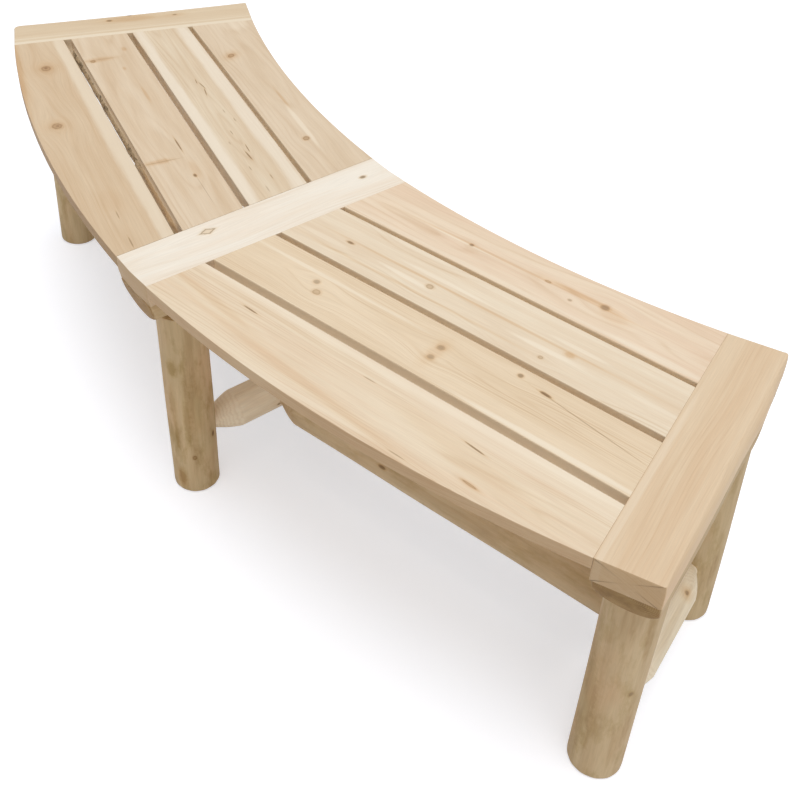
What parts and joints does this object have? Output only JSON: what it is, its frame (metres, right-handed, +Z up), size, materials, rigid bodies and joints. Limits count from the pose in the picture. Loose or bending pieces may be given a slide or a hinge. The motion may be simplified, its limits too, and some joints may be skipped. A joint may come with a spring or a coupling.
{
  "type": "curved log bench",
  "caption": "Backless curved bench: slatted seat in two angled halves on half-log rails, round log legs and tapered log stretchers.",
  "frame": {"origin": "on the floor, below the middle of the bench's overall outline", "axes": "+X along the bench to its right end, +Y towards the hollow side of the curve, +Z up"},
  "size_m": [1.6208, 0.6064, 0.457],
  "materials": {
    "sawn_slat": "bare sawn and sanded softwood, unfinished",
    "sawn_board": "bare sawn and sanded softwood, unfinished",
    "peeled_log": "peeled and sanded round log, unfinished",
    "dowel": "smooth hardwood dowel",
    "zinc_screw": "zinc plated"
  },
  "bodies": {
    "root": {"left_slat_1": "sawn_slat", "left_slat_2": "sawn_slat", "left_slat_3": "sawn_slat", "left_slat_4": "sawn_slat", "left_end_board": "sawn_board", "left_rail": "peeled_log", "left_outer_leg": "peeled_log", "left_inner_leg": "peeled_log", "left_cross_stretcher": "peeled_log", "left_long_stretcher": "peeled_log", "right_slat_1": "sawn_slat", "right_slat_2": "sawn_slat", "right_slat_3": "sawn_slat", "right_slat_4": "sawn_slat", "right_end_board": "sawn_board", "right_rail": "peeled_log", "right_outer_leg": "peeled_log", "right_inner_leg": "peeled_log", "right_cross_stretcher": "peeled_log", "right_long_stretcher": "peeled_log", "centre_board": "sawn_board", "centre_rail": "peeled_log", "centre_outer_leg": "peeled_log", "centre_inner_leg": "peeled_log", "centre_cross_stretcher": "peeled_log", "slat_dowels": "dowel", "board_screws": "zinc_screw", "leg_screws": "zinc_screw"}
  },
  "joints": []
}
